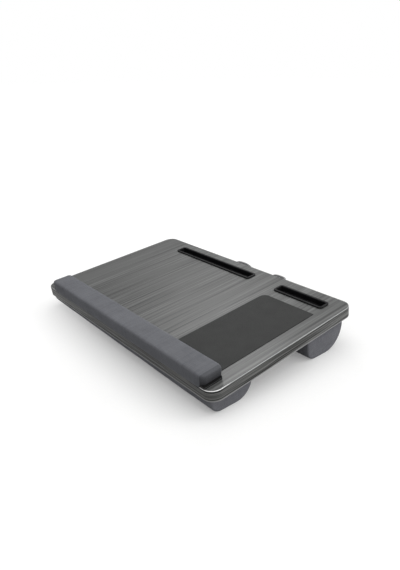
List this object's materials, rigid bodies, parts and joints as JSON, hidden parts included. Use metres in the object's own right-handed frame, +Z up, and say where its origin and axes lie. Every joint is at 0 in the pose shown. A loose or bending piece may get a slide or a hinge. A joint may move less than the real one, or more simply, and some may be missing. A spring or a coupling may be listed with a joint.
{
  "type": "lap desk",
  "caption": "Lap desk: a dark wood-grain board on two bolster cushions, with a padded wrist rest, a mouse pad, tablet and phone slots, and a swinging carry handle.",
  "frame": {"origin": "on the floor, under the middle of the bounding box", "axes": "+X to the user's right along the board, +Y from the user to the rear edge, +Z up; the board leans 5.7 degrees to the user"},
  "size_m": [0.6, 0.383, 0.0874],
  "materials": {
    "wood_grain": "dark wood-grain laminate, satin",
    "edge_grain": "dark wood-grain edge banding, satin",
    "bare_wood": "bare softwood",
    "panel": "dark hardboard, matt",
    "slot_plastic": "black, fine texture",
    "pad_leather": "charcoal leatherette, matt",
    "rest_fabric": "grey woven upholstery",
    "cushion_fabric": "grey woven upholstery",
    "foam": "open-cell foam",
    "handle_plastic": "grey, satin",
    "steel": "zinc plated"
  },
  "bodies": {
    "desk": {"top_board": "wood_grain", "edge_band": "edge_grain", "front_rail": "bare_wood", "rear_rail": "bare_wood", "left_rail": "bare_wood", "right_rail": "bare_wood", "long_rib": "bare_wood", "cross_rib_left": "bare_wood", "cross_rib_middle": "bare_wood", "cross_rib_right": "bare_wood", "bottom_panel": "panel", "panel_screw_1": "steel", "panel_screw_2": "steel", "panel_screw_3": "steel", "panel_screw_4": "steel", "panel_screw_5": "steel", "panel_screw_6": "steel", "panel_screw_7": "steel", "panel_screw_8": "steel", "tablet_slot_insert": "slot_plastic", "phone_slot_insert": "slot_plastic", "mouse_pad": "pad_leather", "wrist_rest_cover": "rest_fabric", "wrist_rest_foam": "foam", "wrist_rest_base": "panel", "wrist_rest_screw_1": "steel", "wrist_rest_screw_2": "steel", "wrist_rest_screw_3": "steel", "wrist_rest_screw_4": "steel", "front_cushion_cover": "cushion_fabric", "front_cushion_foam": "foam", "front_cushion_backing": "bare_wood", "rear_cushion_cover": "cushion_fabric", "rear_cushion_foam": "foam", "rear_cushion_backing": "bare_wood", "cushion_screw_1": "steel", "cushion_screw_2": "steel", "cushion_screw_3": "steel", "cushion_screw_4": "steel", "cushion_screw_5": "steel", "cushion_screw_6": "steel", "handle_ear_left": "handle_plastic", "handle_ear_right": "handle_plastic", "ear_screw_1": "steel", "ear_screw_2": "steel"},
    "handle": {"carry_handle": "handle_plastic"}
  },
  "joints": [
    {"name": "handle_swing", "type": "hinge", "parent": "desk", "child": "handle", "pos_m": [0.029, 0.17588, 0.07508], "axis": [1, 0, 0], "range_deg": [0, 100]}
  ]
}
